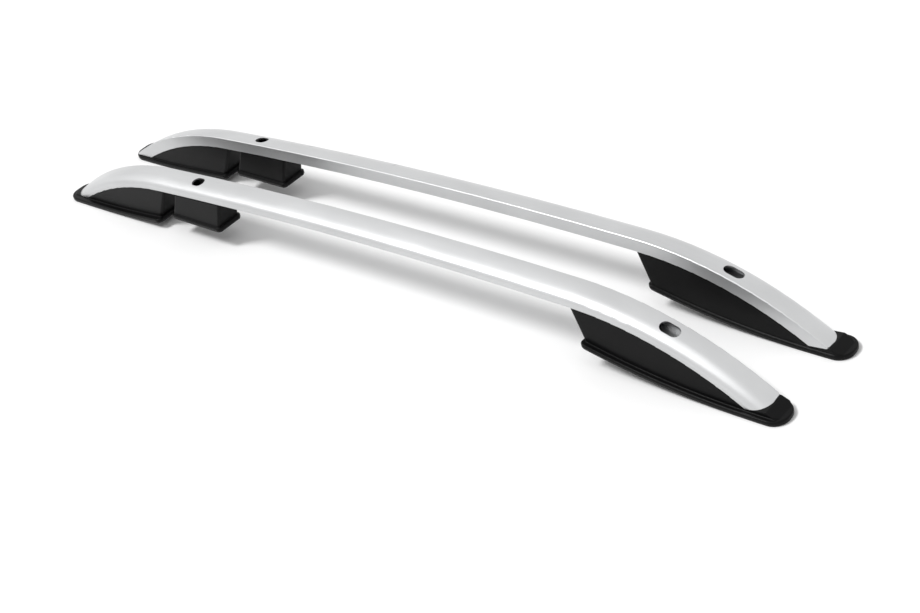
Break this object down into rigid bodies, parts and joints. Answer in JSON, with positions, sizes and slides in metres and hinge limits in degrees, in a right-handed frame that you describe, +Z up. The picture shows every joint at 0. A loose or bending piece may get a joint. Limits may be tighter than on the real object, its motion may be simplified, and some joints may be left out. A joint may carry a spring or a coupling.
{
  "type": "roof side rail pair",
  "caption": "Lengthwise roof rails for a car: a bent silver bar with slots in its top, standing on black moulded feet that bolt to the roof.",
  "frame": {"origin": "on the floor, midway between the rails and midway along the pair", "axes": "+X along the rails towards the long rear feet, +Y from the left rail to the right rail, +Z up"},
  "size_m": [1.1872, 0.1666, 0.095],
  "materials": {
    "bar": "satin anodised",
    "foot": "fine grained satin",
    "gasket": "matt",
    "sleeve": "zinc plated",
    "screw": "zinc plated"
  },
  "bodies": {
    "root": {"left_bar": "bar", "left_front_foot": "foot", "left_block_foot": "foot", "left_rear_foot": "foot", "left_front_gasket": "gasket", "left_block_gasket": "gasket", "left_rear_gasket": "gasket", "left_block_sleeve": "sleeve", "left_rear_sleeve": "sleeve", "left_front_foot_screws": "screw", "left_block_screws": "screw", "left_rear_foot_screws": "screw", "right_bar": "bar", "right_front_foot": "foot", "right_block_foot": "foot", "right_rear_foot": "foot", "right_front_gasket": "gasket", "right_block_gasket": "gasket", "right_rear_gasket": "gasket", "right_block_sleeve": "sleeve", "right_rear_sleeve": "sleeve", "right_front_foot_screws": "screw", "right_block_screws": "screw", "right_rear_foot_screws": "screw"}
  },
  "joints": []
}
